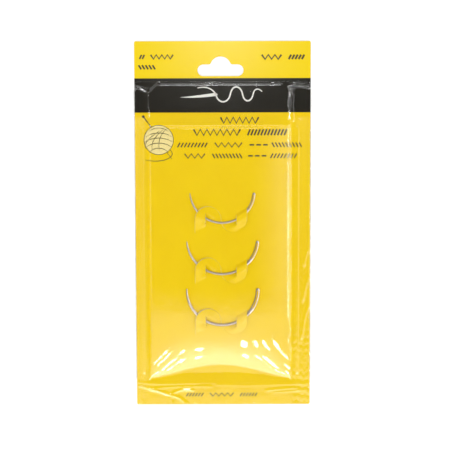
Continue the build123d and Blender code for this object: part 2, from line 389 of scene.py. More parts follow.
def ribbon_outline(path, width):
    """A closed outline round a path, with square ends."""
    left, right = path_sides(path, [width] * len(path))
    return left + right[::-1]


def card_outline():
    """The rounded rectangle of the board."""
    w, h = card_half_width - card_corner, card_half_height - card_corner
    corners = (((w, -h), 270), ((w, h), 0), ((-w, h), 90), ((-w, -h), 180))
    return [p for middle, start in corners for p in arc(middle, card_corner, start, start + 90, corner_steps)]


def slot_outline():
    """The hang slot: a bar with round ends and a bump above its middle."""
    foot, bar_half = slot_top - slot_height, slot_bar_height / 2
    bump_y = slot_top - slot_bump_radius
    corner_y = foot + slot_bar_height + slot_corner
    corner_x = math.sqrt((slot_bump_radius + slot_corner) ** 2 - (corner_y - bump_y) ** 2)
    lean = math.degrees(math.atan2(corner_y - bump_y, corner_x))
    half = arc((bar_half - slot_half_length, foot + bar_half), bar_half, 270, 90, 12)
    half += arc((-corner_x, corner_y), slot_corner, 270, 360 - lean, 4)
    bump = arc((0, bump_y), slot_bump_radius, 180 - lean, lean, 16)
    return [(slot_middle_x + x, y) for x, y in half + bump + [(-x, y) for x, y in reversed(half)]]


SIZES = ("24", "22", "20")


def needle_facts(size):
    """A needle's middle, curve radius, wire and lowest point, as the frame has them."""
    low, high = frame_box("needle_size_" + size)
    joint = next(j for j in frame["joints"] if j["name"] == f"needle_{size}_turn")
    middle = Vector(joint["pos_m"]) / MM
    wire = high.z - low.z
    radius = middle.y - low.y - wire / 2
    return middle, radius, wire, low.y + wire / 2


NEEDLES = {size: needle_facts(size) for size in SIZES}


def flap_centre(size, side):
    """The middle of the left flap, side -1, of the right flap, side 1, or between them, side 0."""
    return flap_middle_x + side * flap_radius, NEEDLES[size][3] + flap_above_needle


def cut_path(size):
    """The S-shaped cut: up the left leg, over the left flap, under the right one, up its leg."""
    left_x, y = flap_centre(size, -1)
    right_x, _ = flap_centre(size, 1)
    path = [(left_x - flap_radius, y - flap_leg[-1] * share) for share in (1, 0.75, 0.5, 0.25)]
    path += arc((left_x, y), flap_radius, 180, 0, 28)
    path += arc((right_x, y), flap_radius, 180, 360, 28)[1:]
    path += [(right_x + flap_radius, y + flap_leg[1] * share) for share in (0.25, 0.5, 0.75, 1)]
    return path


def slit_path(size, side):
    """The short slit near the middle of a flap, where the needle comes through."""
    x = flap_centre(size, side)[0] + side * slit_shift
    middle, radius, _, _ = NEEDLES[size]
    y = middle.y - math.sqrt(radius ** 2 - (x - middle.x) ** 2)
    return [(x, y + slit_half_length * share) for share in (-1, -0.6, -0.2, 0.2, 0.6, 1)]


def inside(outline, x, y):
    """Whether a point lies in a closed outline."""
    found = False
    for (x0, y0), (x1, y1) in zip(outline, outline[1:] + outline[:1]):
        if (y0 > y) != (y1 > y) and x < (x1 - x0) * (y - y0) / (y1 - y0) + x0:
            found = not found
    return found


def flap_lift(size, side, x, y):
    """How far a flap is lifted at a point: over the needle on its outer half, and along its free edge."""
    middle, radius, wire, _ = NEEDLES[size]
    centre_x, centre_y = flap_centre(size, side)
    beside_x, beside_y = x - centre_x, y - centre_y
    leg_x, leg_y = side * flap_radius, side * flap_leg[side]
    out = side * beside_x
    # The fold runs from the leg's end to the middle of the S
    to_fold = ((beside_x - leg_x) * leg_y - (beside_y - leg_y) * 2 * leg_x) / math.hypot(2 * leg_x, leg_y)
    past_edge = side * beside_y < 0 and math.hypot(beside_x, beside_y) > flap_radius
    if out > flap_radius or past_edge or to_fold <= 0:
        return 0
    rise = needle_gap + wire + bridge_clearance + card_thickness
    from_wire = side * (radius - math.hypot(x - middle.x, y - middle.y))
    beside = max(abs(from_wire) - bridge_flat, 0)
    out -= slit_shift
    if from_wire > 0:
        return rise * smooth(to_fold / (beside + to_fold)) if out >= 0 else 0
    lift = rise * (1 - free_edge_fall * smooth(beside / free_edge_reach))
    if out < 0:
        lift *= smooth(beside / inner_press_width) * smooth(1 + out / inner_reach)
    return lift * smooth(to_fold / fold_soft)


def board_lift(x, y):
    """How far the board is pushed up at a point by the needles under its flaps."""
    return max(flap_lift(size, side, x, y) for size in SIZES for side in (-1, 1))


def board_points():
    """Grid points over the board, close together round the flaps."""
    rows, columns = int(2 * card_half_height / grid_coarse), int(2 * card_half_width / grid_coarse)
    zones = [flap_centre(size, 0) for size in SIZES]
    half_x, half_y = 2 * flap_radius + zone_spare[0], flap_radius + zone_spare[1]
    points = []
    for row in range(1, rows):
        for column in range(1, columns):
            x = -card_half_width + 2 * card_half_width * column / columns
            y = -card_half_height + 2 * card_half_height * row / rows
            if all(abs(x - zone_x) >= half_x + grid_fine or abs(y - zone_y) >= half_y + grid_fine
                   for zone_x, zone_y in zones):
                points.append((x, y))
    for zone_x, zone_y in zones:
        left, low = zone_x - half_x, zone_y - half_y
        for row in range(int(2 * half_y / grid_fine)):
            shift = grid_fine / 2 * (row % 2)
            points += [(left + column * grid_fine + shift, low + row * grid_fine)
                       for column in range(int(2 * half_x / grid_fine))]
    return points


def board_sheet():
    """The flat board as points and triangles, its slot and cuts left open."""
    rim, holes = card_outline(), [slot_outline()]
    for size in SIZES:
        holes.append(ribbon_outline(cut_path(size), cut_width))
        holes += [ribbon_outline(slit_path(size, side), slit_width) for side in (-1, 1)]
    coords, edges = [], []
    for loop in [rim] + holes:
        first = len(coords)
        coords += loop
        edges += [(first + i, first + (i + 1) % len(loop)) for i in range(len(loop))]
    walls = np.array(coords)
    for x, y in board_points():
        if np.min(np.hypot(walls[:, 0] - x, walls[:, 1] - y)) > grid_wall_gap:
            coords.append((x, y))
    nearness = 1e-5
    flat, _, found = delaunay_2d_cdt([Vector(c) for c in coords], edges, [], 0, nearness)[:3]
    kept = []
    for triangle in found:
        x = sum(flat[i].x for i in triangle) / 3
        y = sum(flat[i].y for i in triangle) / 3
        if inside(rim, x, y) and not any(inside(hole, x, y) for hole in holes):
            kept.append(triangle)
    used = sorted({i for triangle in kept for i in triangle})
    order = {old: new for new, old in enumerate(used)}
    return [flat[i] for i in used], [[order[i] for i in triangle] for triangle in kept]


def sheet_lifts(spots, triangles):
    """How far each point is lifted, read a little inside its own side of a cut."""
    pull = 0.12
    around = {}
    for triangle in triangles:
        for i in triangle:
            around.setdefault(i, []).extend(spots[j] for j in triangle if j != i)
    lifts = []
    for i, spot in enumerate(spots):
        mid_x = sum(p.x for p in around[i]) / len(around[i])
        mid_y = sum(p.y for p in around[i]) / len(around[i])
        lifts.append(board_lift(spot.x + (mid_x - spot.x) * pull, spot.y + (mid_y - spot.y) * pull))
    return lifts


def hanging_card(front, edge_and_cut_shade, back):
    """The board as one closed sheet, its cuts open and its flaps lifted over the needles."""
    front_slot, core_slot, back_slot, sharp = 0, 1, 2, math.radians(50)
    spots, triangles = board_sheet()
    lifts = sheet_lifts(spots, triangles)
    count = len(spots)
    verts = [(p.x, p.y, level + lift) for level in (card_front, card_back) for p, lift in zip(spots, lifts)]
    faces, slots, directed = [], [], []
    for a, b, c in triangles:
        if (spots[b] - spots[a]).cross(spots[c] - spots[a]) < 0:
            b, c = c, b
        faces += [(a, b, c), (a + count, c + count, b + count)]
        slots += [front_slot, back_slot]
        directed += [(a, b), (b, c), (c, a)]
    paired = set(directed)
    for a, b in directed:
        if (b, a) not in paired:
            faces.append((b, a, a + count, b + count))
            slots.append(core_slot)
    # The cut walls take the core colour, which carries painted shade for the cuts
    card = new_piece("card_board", verts, faces, "card", front, edge_and_cut_shade, back)
    card.data.polygons.foreach_set("material_index", slots)
    card.data.set_sharp_from_angle(angle=sharp)
    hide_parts("hanging_card")


# The needles

def needle_section(size, place):
    """Half the width and half the height of the wire at a length from its point."""
    tip, taper_power, least = 0.34, 2.2, 0.02
    half, length = NEEDLES[size][2] / 2, needle_length[size]
    head = neck_length + eye_length[size] + 2 * eye_end_wall
    if place < taper_length:
        share = tip + (1 - tip) * (1 - (1 - place / taper_length) ** taper_power)
        round_end = tip * half
        if place < round_end:
            share *= math.sqrt(max(least, 1 - (1 - place / round_end) ** 2))
        return half * share, half * share
    if place < length - head:
        return half, half
    wide, thin = head_width[size] / 2, head_thickness[size] / 2
    share = smooth((place - (length - head)) / neck_length)
    across, tall = half + (wide - half) * share, half + (thin - half) * share
    left = length - place
    if left < wide:
        close = math.sqrt(max(least, 1 - (1 - left / wide) ** 2))
        across, tall = across * close, tall * (0.5 + 0.5 * close)
    return across, tall


def needle_spot(size, place, across, tall):
    """A point at a length along the needle's curve, offset outward and up."""
    middle, radius, _, _ = NEEDLES[size]
    turn = math.radians(270) + (place - needle_length[size] / 2) / radius
    reach = radius + across
    return middle.x + reach * math.cos(turn), middle.y + reach * math.sin(turn), middle.z + tall


def curved_needle(size, steel):
    """One needle as a swept skin, its eye a long opening with rounded rims."""
    sides, step, eye_steps, head_steps = 20, 0.45, 14, 9
    end_steps, rim_share, least_rim, nearly = 5, 0.94, 0.05, 1e-6
    length = needle_length[size]
    slot_from, slot_to = length - eye_end_wall - eye_length[size], length - eye_end_wall
    half_eye = eye_width[size] / 2
    turns = [2 * math.pi * i / sides for i in range(sides)]
    verts, faces, uvs = [], [], []

    def ring(place, offset):
        """One ring of points round the wire; offset gives each one's way outward and up."""
        first = len(verts)
        across, tall = needle_section(size, min(place, length - 0.001))
        for i, turn in enumerate(turns):
            verts.append(needle_spot(size, place, *offset(across, tall, turn)))
            uvs.append((place, i / sides))
        return first

    def skin(rings):
        for a, b in zip(rings, rings[1:]):
            for i in range(sides):
                j = (i + 1) % sides
                faces.append((a + i, a + j, b + j, b + i))

    def whole(across, tall, turn):
        return across * math.cos(turn), tall * math.sin(turn)

    def cheek(place, side):
        """The ring of one cheek beside the eye: the head's outside, then in along the rim."""
        end = min(place - slot_from, slot_to - place)
        gap = 0
        if end > 0:
            gap = half_eye if end >= half_eye else math.sqrt(half_eye ** 2 - (half_eye - end) ** 2)

        def offset(across, tall, turn):
            if side * math.cos(turn) >= gap / across:
                return whole(across, tall, turn)
            limit = math.sqrt(max(0, 1 - (gap / across) ** 2))
            up = max(-1, min(1, math.sin(turn) / max(limit, least_rim)))
            return side * gap, tall * limit * up * rim_share

        return ring(place, offset)

    def join(start, pair, reverse):
        """A full ring meets the two cheeks at an end of the eye."""
        for first, side in zip(pair, (1, -1)):
            outer = [side * math.cos(turn) >= -nearly for turn in turns]
            for i in range(sides):
                j = (i + 1) % sides
                if outer[i] and outer[j]:
                    face = (start + i, start + j, first + j, first + i)
                    faces.append(face[::-1] if reverse else face)

    wire = [ring(place, whole) for place in list(np.arange(0, slot_from, step)) + [slot_from]]
    skin(wire)
    faces.append(tuple(range(sides))[::-1])
    ends = [half_eye * (1 - math.cos(math.pi / 2 * i / end_steps)) for i in range(1, end_steps + 1)]
    eye_places = [slot_from + end for end in ends]
    eye_places += list(np.linspace(slot_from + half_eye, slot_to - half_eye, eye_steps))[1:-1]
    eye_places += [slot_to - end for end in reversed(ends)]
    cheeks = [(cheek(place, 1), cheek(place, -1)) for place in eye_places]
    for rings in zip(*cheeks):
        skin(rings)
    join(wire[-1], cheeks[0], False)
    head = [ring(place, whole) for place in np.linspace(slot_to, length, head_steps)]
    join(head[0], cheeks[-1], True)
    skin(head)
    faces.append(tuple(head[-1] + i for i in range(sides)))
    needle = new_piece("curved_needle_" + size, verts, faces, "needle_" + size, steel)
    layer = needle.data.uv_layers.new(name="along")
    for loop in needle.data.loops:
        layer.data[loop.index].uv = uvs[loop.vertex_index]
    bm = bmesh.new()
    bm.from_mesh(needle.data)
    bmesh.ops.recalc_face_normals(bm, faces=bm.faces)
    bm.to_mesh(needle.data)
    bm.free()
    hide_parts("needle_size_" + size)


# The film cover

def raised(x, y):
    """How far a point lies inside the tunnel above the bubble or the lip, less than 0 outside."""
    tunnel = np.maximum(np.abs(x - bubble_middle) - bubble_half, tunnel_foot - y)
    lip = fold_head - y
    away = tunnel_corner - np.hypot(np.maximum(tunnel_corner - tunnel, 0), np.maximum(tunnel_corner - lip, 0))
    nearer = np.minimum(tunnel, lip)
    return np.where(nearer < 0, -nearer, -away)


# Creases in the film: a path on the card, and the height and half width of its ridge
CREASES = [
    ([(-32.4, -62.6), (-27, -64.4), (-20.5, -66.3), (-16.8, -67.6), (-14.4, -69.7)], 0.16, 0.32),
    ([(-20, -69.6), (-20.4, -67.6), (-19, -65.2), (-16, -64.2), (-12, -64.4)], 0.15, 0.3),
    ([(-27.6, -63.9), (-22, -63.2), (-14, -62.9), (-5, -63)], 0.05, 0.3),
    ([(17, -64.6), (23, -64), (28.5, -63.6)], 0.08, 0.3),
    ([(20, -65.3), (26, -64.9), (31.5, -64.3)], 0.05, 0.26),
    ([(-2, -62.3), (9, -62.6), (22, -62.2), (32, -62)], 0.03, 0.28),
    ([(-33.2, -61.2), (-29, -61.8), (-22, -61.9), (-10, -61.7)], 0.04, 0.25),
    ([(-27.6, 51.4), (-25.6, 53.3), (-23.6, 54.7)], 0.14, 0.28),
    ([(-33.4, 52.5), (-31, 52.4), (-29.3, 51.2), (-28.5, 48.6), (-28.7, 45.4), (-28.2, 42)], 0.38, 0.34),
    ([(33.3, -9), (31.7, -12), (31.2, -15.5)], 0.22, 0.35),
    ([(33.3, -20), (31.7, -24), (30.9, -29)], 0.22, 0.35),
    ([(33.3, -31), (31.4, -36), (30.3, -44)], 0.22, 0.35),
    ([(25.2, 41), (24.6, 46.5), (25.3, 51.6)], 0.3, 0.3),
    ([(27, 40), (26.5, 46), (26.9, 49.5)], 0.24, 0.3),
    ([(25.8, 52.2), (29.5, 53.1), (33.2, 52.4)], 0.28, 0.32),
    ([(27.5, 54), (30.2, 53.6), (33, 53.9)], 0.1, 0.25),
]
BEAD_Y = cover_head - 0.45 - 0.65
BEAD_FROM, BEAD_TO, BEAD_END = -24.2, 22.9, 0.6
BEAD_HALF, BEAD_HEIGHT = 0.4, 0.14
RIB_PLACES = (-30.65, 28.7)
RIB_HALF, RIB_HEIGHT = 0.75, 0.19
RIB_HEAD, RIB_FOOT, RIB_END = 38, -58.5, 1.5


def path_distance(x, y, path):
    """The distance from each point to a path of straight runs."""
    best = np.full(np.shape(x), np.inf)
    for (x0, y0), (x1, y1) in zip(path, path[1:]):
        dx, dy = x1 - x0, y1 - y0
        share = np.clip(((x - x0) * dx + (y - y0) * dy) / (dx * dx + dy * dy), 0, 1)
        best = np.minimum(best, np.hypot(x - x0 - share * dx, y - y0 - share * dy))
    return best


def waves(x, y, seed, longest, count, size):
    """A sum of slanted sine waves, each shorter and lower than the one before."""
    draw = random.Random(seed)
    total = np.zeros(np.shape(x))
    for _ in range(count):
        turn = draw.uniform(0, math.pi)
        phase = draw.uniform(0, 2 * math.pi)
        total += size * np.sin((x * math.cos(turn) + y * math.sin(turn)) * 2 * math.pi / longest + phase)
        longest *= draw.uniform(0.62, 0.8)
        size *= 0.66
    return total


def bubble(x, y):
    """The bubble's height above the flat film: a low vault that leans down to its foot."""
    u = np.abs(x - bubble_middle)
    half = bubble_half - bubble_side_run
    droop = sum(np.maximum(start - y, 0) ** 2 / (2 * radius) for start, radius in bubble_droops)
    droop = np.minimum(droop, bubble_height - bubble_side)
    arch = bubble_side + (bubble_height - bubble_side) * (1 - (u / half) ** 2)
    arch -= droop * (1 - (1 - bubble_droop_side) * (u / half) ** 2)
    wall = (bubble_half - u) * bubble_side / bubble_side_run
    up = np.maximum(y - bubble_foot, 0)
    foot = (y - bubble_foot) * bubble_ramp_slope - np.minimum(up, bubble_ramp_bow_run) ** 2 * bubble_ramp_bow
    head = (bubble_head - y) * bubble_height / bubble_head_run
    height = lower_of(arch, foot, bubble_crest_soft)
    height = lower_of(height, wall, bubble_wall_soft)
    return lower_of(height, head, bubble_head_soft)


def creased(x, y, on_bubble):
    """The bead near the head, the ribs beside the bubble and the creases on the flat film."""
    bead = np.clip(1 - ((y - BEAD_Y) / BEAD_HALF) ** 2, 0, 1)
    bead *= smooth((x - BEAD_FROM) / BEAD_END) * smooth((BEAD_TO - x) / BEAD_END)
    height = BEAD_HEIGHT * bead
    for place in RIB_PLACES:
        rib = smooth(1 - np.abs(x - place) / RIB_HALF)
        rib *= smooth((RIB_HEAD - y) / RIB_END) * smooth((y - RIB_FOOT) / RIB_END)
        height += RIB_HEIGHT * rib
    for path, tall, half in CREASES:
        ridge = np.exp(-(path_distance(x, y, path) / half) ** 2 / 2)
        height += tall * ridge * (1 - on_bubble)
    return height


def uneven(x, y, vault, on_bubble):
    """The film's slow waves and crinkles, each kind where it shows."""
    lip_lift, side_lift, foot_lift = 0.03, 0.05, 0.04
    side_gap, side_soft, lip_gap, lip_soft = 0.4, 0.8, 2, 2
    calm, lively_x, lively_run, lively_y, lively_fall = 0.25, 20, 6, 10, 25
    in_lip = smooth((y - tunnel_foot - lip_gap) / lip_soft)
    height = in_lip * (lip_lift + waves(x, y, 5, 9, 3, 0.01))
    outside = smooth((np.abs(x - bubble_middle) - bubble_half - side_gap) / side_soft) * (1 - in_lip)
    lively = calm + (1 - calm) * smooth((x - lively_x) / lively_run) * smooth((lively_y - y) / lively_fall)
    height += outside * (side_lift + np.abs(waves(x, y * 0.8, 11, 5, 5, 0.028)) * lively)
    height += smooth(bubble_foot - y) * (foot_lift + np.abs(waves(x * 0.6, y, 23, 9, 3, 0.005)))
    return height + on_bubble * waves(x, y * 0.5, 31, 30, 2, 0.01) * smooth(vault / 4)


def film_height(x, y):
    """The height of the film's middle surface above the ground."""
    foot_soft = 0.8
    x, y = np.asarray(x, float), np.asarray(y, float)
    step = tunnel_rise * smooth(0.5 + (raised(x, y) - tunnel_step / 2) / tunnel_step)
    vault = bubble(x, y)
    on_bubble = smooth(vault / foot_soft)
    height = np.maximum(np.maximum(step, vault), 0)
    height += creased(x, y, on_bubble)
    height += uneven(x, y, vault, on_bubble)
    return np.minimum(film_flat + height, cover_high.z - film / 2)


def graded(low, high, coarse, fine, zones=()):
    """Grid lines from low to high, close together inside the zones."""
    places, here = [], low
    while here < high - fine / 2:
        places.append(here)
        here += fine if any(a <= here <= b for a, b in zones) else coarse
    return places + [high]


def cover_rows():
    """The rows of the cover's grid, close together at its ends and over the bubble's ramp."""
    least_gap, close, fine, near, medium, wide = 0.08, 0.16, 0.2, 0.25, 0.3, 0.8
    ramp_head, head_zone, crest_foot, crest_head, crest_gap = -56, 36, -58, -44, 0.4
    rows = graded(cover_foot, bubble_foot, near, fine) + graded(bubble_foot, fold_foot, near, fine)
    rows += graded(fold_foot, fold_head, wide, medium, [(fold_foot, ramp_head), (head_zone, fold_head)])
    rows += graded(fold_head, cover_head, close, close) + graded(crest_foot, crest_head, crest_gap, crest_gap)
    rows = sorted(set(rows))
    return [y for i, y in enumerate(rows) if i == 0 or y - rows[i - 1] > least_gap]


# The folded side: turns round the edge in degrees, then distances back behind the board
FOLD_TURNS = [90 - 180 * k / 8 for k in range(9)]
BACK_RUNS = [0.9, 2.2, 3.6, 4.9, fold_reach]


def fold_point(side, down, start, k, phases):
    """A point of a folded side: round the board's edge from the height start, then back behind it."""
    edge_x = cover_high.x - fold_radius - film / 2
    middle_z = film_flat - fold_radius
    if k < len(FOLD_TURNS):
        turn = math.radians(FOLD_TURNS[k])
        return (side * (edge_x + fold_radius * math.cos(turn)), down,
                middle_z + fold_radius * math.sin(turn) + start * ((1 + math.sin(turn)) / 2))
    run, inset = BACK_RUNS[k - len(FOLD_TURNS)], 0.4
    wave = 0.25 * math.sin(down * 0.35 + phases[0]) + 0.15 * math.sin(down * 0.9 + phases[1])
    reach = run + wave * (run / fold_reach) - inset * (run / fold_reach)
    return side * (edge_x - reach), down, middle_z - fold_radius


def clear_cover(material):
    """The cover as one thin sheet, its sides folded behind the board."""
    inset, near, spare, sharp = 0.05, 0.01, 0.02, math.radians(16)
    coarse, fine, left_zone, right_zone = 0.5, 0.2, -24.5, 22.6
    edge = card_half_width - inset
    across = graded(-edge, edge, coarse, fine, [(-edge, left_zone), (right_zone, edge)])
    down = cover_rows()
    z = film_height(*np.meshgrid(across, down))
    columns, rows = len(across), len(down)
    verts, faces, index = [], [], {}

    def vertex(key, point):
        if key not in index:
            index[key] = len(verts)
            verts.append(point)
        return index[key]

    def sheet_vertex(i, j):
        return vertex((i, j), (across[i], down[j], z[j][i]))

    def kept(x, y):
        """Whether a grid place lies inside the sheet's rounded corners."""
        beyond_x = max(abs(x) - (edge - cover_corner), 0)
        beyond_y = max(y - (cover_head - cover_corner), cover_foot + cover_corner - y, 0)
        return math.hypot(beyond_x, beyond_y) <= cover_corner + spare

    for j in range(rows - 1):
        for i in range(columns - 1):
            corners = [(i, j), (i + 1, j), (i + 1, j + 1), (i, j + 1)]
            if all(kept(across[a], down[b]) for a, b in corners):
                faces.append([sheet_vertex(a, b) for a, b in corners])
    draw = random.Random(3)
    phases = [draw.uniform(0, 6) for _ in range(3)]
    for side, column in ((-1, 0), (1, columns - 1)):
        for j in range(rows - 1):
            if down[j] < fold_foot - near or down[j + 1] > fold_head + near:
                continue
            for k in range(len(FOLD_TURNS) + len(BACK_RUNS)):
                keys = []
                for step, row in ((k, j), (k + 1, j), (k + 1, j + 1), (k, j + 1)):
                    if step == 0:
                        keys.append(sheet_vertex(column, row))
                    else:
                        point = fold_point(side, down[row], z[row][column] - film_flat, step - 1, phases)
                        keys.append(vertex((side, step, row, "fold"), point))
                faces.append(keys if side > 0 else keys[::-1])
    cover = new_piece("film_cover", verts, faces, "cover", material)
    cover.data.set_sharp_from_angle(angle=sharp)
    sheet = cover.modifiers.new("film", "SOLIDIFY")
    sheet.thickness = film * MM
    sheet.offset = 0
    sheet.use_even_offset = False
    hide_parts("clear_cover")


# The print on the board

INK_LIFT = 0.02


class Print:
    """Flat ink shapes on the board, gathered into one piece."""

    def __init__(self):
        self.verts, self.faces = [], []

    def outline(self, points):
        """A closed outline filled with ink, a thin closed slab."""
        first, count = len(self.verts), len(points)
        area = sum(x0 * y1 - x1 * y0 for (x0, y0), (x1, y1) in zip(points, points[1:] + points[:1]))
        points = points if area > 0 else points[::-1]
        for lift in (INK_LIFT, INK_LIFT / 8):
            self.verts += [(x, y, card_front + lift) for x, y in points]
        self.faces.append([first + i for i in range(count)])
        self.faces.append([first + count + i for i in reversed(range(count))])
        for i in range(count):
            j = (i + 1) % count
            self.faces.append([first + i, first + count + i, first + count + j, first + j])

    def stroke(self, path, width, taper=0):
        """A line of ink along a path, its ends narrowed by taper."""
        last = len(path) - 1
        shares = [min(k, last - k) / max(last / 2, 1) for k in range(last + 1)]
        left, right = path_sides(path, [width * (1 - taper * (1 - min(share * 2, 1))) for share in shares])
        for k in range(last):
            self.outline([left[k], right[k], right[k + 1], left[k + 1]])

    def piece(self, name, material):
        made = new_piece(name, self.verts, self.faces, "card", material)
        made.data.shade_flat()


def stitch_row(ink, left, right, foot, tall, groups, bold):
    """A row of printed stitches between two edges, in groups of one kind of stitch."""
    height, line, spare, pitch_share, gap_share = 0.72, 0.36, 0.12, 0.5, 1.6
    pitch = tall * pitch_share
    gap = pitch * gap_share
    squeeze = (right - left) / (sum(count for _, count in groups) * pitch + (len(groups) - 1) * gap)
    step = pitch * squeeze
    top, middle = foot + tall * height, foot + tall * line
    x = left
    for kind, count in groups:
        if kind == "zigzag":
            ink.stroke([(x + step * (k + 0.5), foot if k % 2 else top) for k in range(count)], bold)
        for k in range(count):
            a, b = x + step * (k + spare), x + step * (k + 1 - spare)
            if kind == "slant":
                ink.stroke([(a, foot), (b, top)], bold)
            if kind == "fall":
                ink.stroke([(a, top), (b, foot)], bold)
            if kind == "dash" and k % 2 == 0:
                ink.stroke([(a, middle), (b + step * 0.6, middle)], bold * 1.2)
        x += count * step + gap * squeeze


def bezier(p0, p1, p2, p3, steps=16):
    """Points on a cubic curve."""
    points = []
    for i in range(steps + 1):
        t = i / steps
        s = 1 - t
        weights = (s ** 3, 3 * s * s * t, 3 * s * t * t, t ** 3)
        points.append(tuple(sum(w * p[axis] for w, p in zip(weights, (p0, p1, p2, p3))) for axis in (0, 1)))
    return points


def band_motif(white):
    """A threaded needle in white across the band, its thread running off in waves."""
    level = 49.7

    def bend(steps, *points):
        return bezier(*((x, level + y) for x, y in points), steps)

    motif = Print()
    lower = bend(16, (-16.4, -0.9), (-11.5, -1.3), (-6.5, -0.9), (-3.6, -0.55))
    around = bend(12, (-3.6, -0.55), (-1.3, -0.5), (-1.3, 0.75), (-3.6, 0.65))
    upper = bend(16, (-3.6, 0.65), (-6.5, 0.2), (-11.5, -0.5), (-16.4, -0.9))
    motif.outline(lower + around[1:] + upper[1:-1])
    thread = bend(14, (-9.5, 2.6), (-6, 3.6), (-3.4, 2), (-2.6, 0.1))
    thread += bend(14, (-2.6, 0.1), (-1.6, -3.6), (2.2, -3.6), (3, 0.4))[1:]
    thread += bend(14, (3, 0.4), (3.8, 4.2), (7, 3.6), (7.6, 0.2))[1:]
    thread += bend(14, (7.6, 0.2), (8.2, -3.2), (11, -3), (11.6, 0.2))[1:]
    thread += bend(12, (11.6, 0.2), (12.1, 2.6), (13.8, 2.6), (15, 1.2))[1:]
    motif.stroke(thread, 0.55, taper=0.35)
    motif.piece("print_band_motif", white)


def yarn_ball(cream, brown):
    """A cream ball of yarn with a knitting needle through it, left of the heading."""
    middle, radius, thin = (-24.4, 32.6), 5.6, 0.24

    def at(x, y):
        return middle[0] + x, middle[1] + y

    ground = Print()
    ground.outline(arc(middle, radius, 0, 352, 44))
    ground.piece("print_ball_ground", cream)
    lines = Print()
    for k in range(5):
        share = -0.72 + 0.36 * k
        half, base = radius * math.sqrt(1 - share ** 2) * 0.94, share * radius
        bow = 1.5 - 0.5 * k / 4
        lines.stroke(bezier(at(-half, base - 0.8), at(-half / 2, base + bow), at(half / 2, base + bow),
                            at(half, base - 0.8)), 0.26, 0.5)
    reach = radius * 0.93
    for k in range(3):
        lean, off = math.radians(52 + 10 * k), -1.9 + 1.9 * k
        x, y = reach * math.cos(lean), reach * math.sin(lean)
        lines.stroke(bezier(at(off - x, -y * 0.8), at(off - x - 0.8, 3 - y * 0.8),
                            at(off + x * 0.7 - 2.4, y * 0.86 - 2), at(off + x * 0.7, y * 0.86)), thin, 0.5)
    lines.stroke(arc(middle, radius, 0, 360, 44), thin)
    lines.stroke(bezier(at(4.2, -3.7), at(7.5, -6.4), at(1.5, -9.2), at(-5.2, -7.6)), 0.28, 0.3)
    lines.stroke([at(-5.6, 8.6), at(-2.7, 4.7)], 0.42)
    lines.stroke([at(3, -4.6), at(5, -7.3)], 0.36, 0.5)
    lines.outline(arc(at(-5.8, 8.9), 0.55, 0, 330, 11))
    lines.piece("print_ball_lines", brown)


# The rows of stitches: left, right, foot, height, groups and line width
STITCHES = {
    "print_header_rows": [
        (-31.6, -18.2, 63.3, 2.2, (("slant", 2), ("zigzag", 9)), 0.62),
        (-32, -25.4, 59.4, 2.2, (("fall", 5),), 0.66),
        (14.3, 31.2, 63.1, 2.4, (("zigzag", 7), ("slant", 5)), 0.72)],
    "print_heading_rows": [
        (-1.4, 14.3, 38.9, 3.2, (("zigzag", 13),), 0.66),
        (-11.7, 24.6, 34.3, 3.2, (("zigzag", 15), ("slant", 12)), 0.66),
        (-17.4, 30.3, 29.8, 2.4, (("slant", 9), ("zigzag", 9), ("dash", 5), ("fall", 9)), 0.5),
        (-15.2, 28.4, 25.6, 2.4, (("zigzag", 7), ("fall", 9), ("dash", 5), ("slant", 8)), 0.5)],
    "print_foot_row": [(-14.5, 13.2, -66.9, 1.9, (("slant", 6), ("zigzag", 9), ("slant", 6)), 0.4)],
}


def board_print(brown, white, cream):
    """Everything printed on the board: rows of stitches, a motif and a small drawing."""
    for name, rows in STITCHES.items():
        ink = Print()
        for row in rows:
            stitch_row(ink, *row)
        ink.piece(name, brown)
    band_motif(white)
    yarn_ball(cream, brown)


# Camera: the photograph's frame is 450 pixels square
PHOTO = 450
LENS, SENSOR = 114.5, 36
camera_distance = 550
camera_aim = Vector((0.8, -0.13, 0))
camera_turn = Euler([math.radians(turn) for turn in (-5.77, -0.1, -0.15)], "XYZ")
camera_spot = camera_aim + camera_turn.to_matrix() @ Vector((0, 0, camera_distance))


def camera():
    """The photograph's camera, nearly straight above."""
    data = bpy.data.cameras.new("camera")
    data.lens, data.sensor_width = LENS, SENSOR
    data.clip_start, data.clip_end = 0.01, 50
    made = bpy.data.objects.new("camera", data)
    made.location = camera_spot * MM
    made.rotation_euler = camera_turn
    bpy.context.scene.collection.objects.link(made)
    bpy.context.scene.camera = made


def pixel_ray(px, py):
    """The direction of the view through a pixel of the photograph."""
    focal = PHOTO * LENS / SENSOR
    ahead = Vector(((px - PHOTO / 2) / focal, (PHOTO / 2 - py) / focal, -1))
    return (camera_turn.to_matrix() @ ahead).normalized()


def film_at_pixel(px, py):
    """Where the view through a pixel meets the film, and the film's normal there."""
    step, rounds = 0.3, 6
    ray = pixel_ray(px, py)
    z = film_flat
    for _ in range(rounds):
        spot = camera_spot + ray * ((z - camera_spot.z) / ray.z)
        z = float(film_height(spot.x, spot.y))
    x, y = spot.x, spot.y
    slopes = [float(film_height(x + dx, y + dy) - film_height(x - dx, y - dy)) / (2 * step)
              for dx, dy in ((step, 0), (0, step))]
    return spot, Vector((-slopes[0], -slopes[1], 1)).normalized()


# Where the two rows of small lamps show in the film's foot, in the photograph's pixels
GLINTS_HEAD = ((159, 359), (169, 355), (182, 352), (200, 349), (244, 344), (256, 344), (265, 344), (276, 345))
GLINTS_FOOT = ((168, 365), (181, 361), (199, 358), (245, 356), (258, 357), (268, 360))


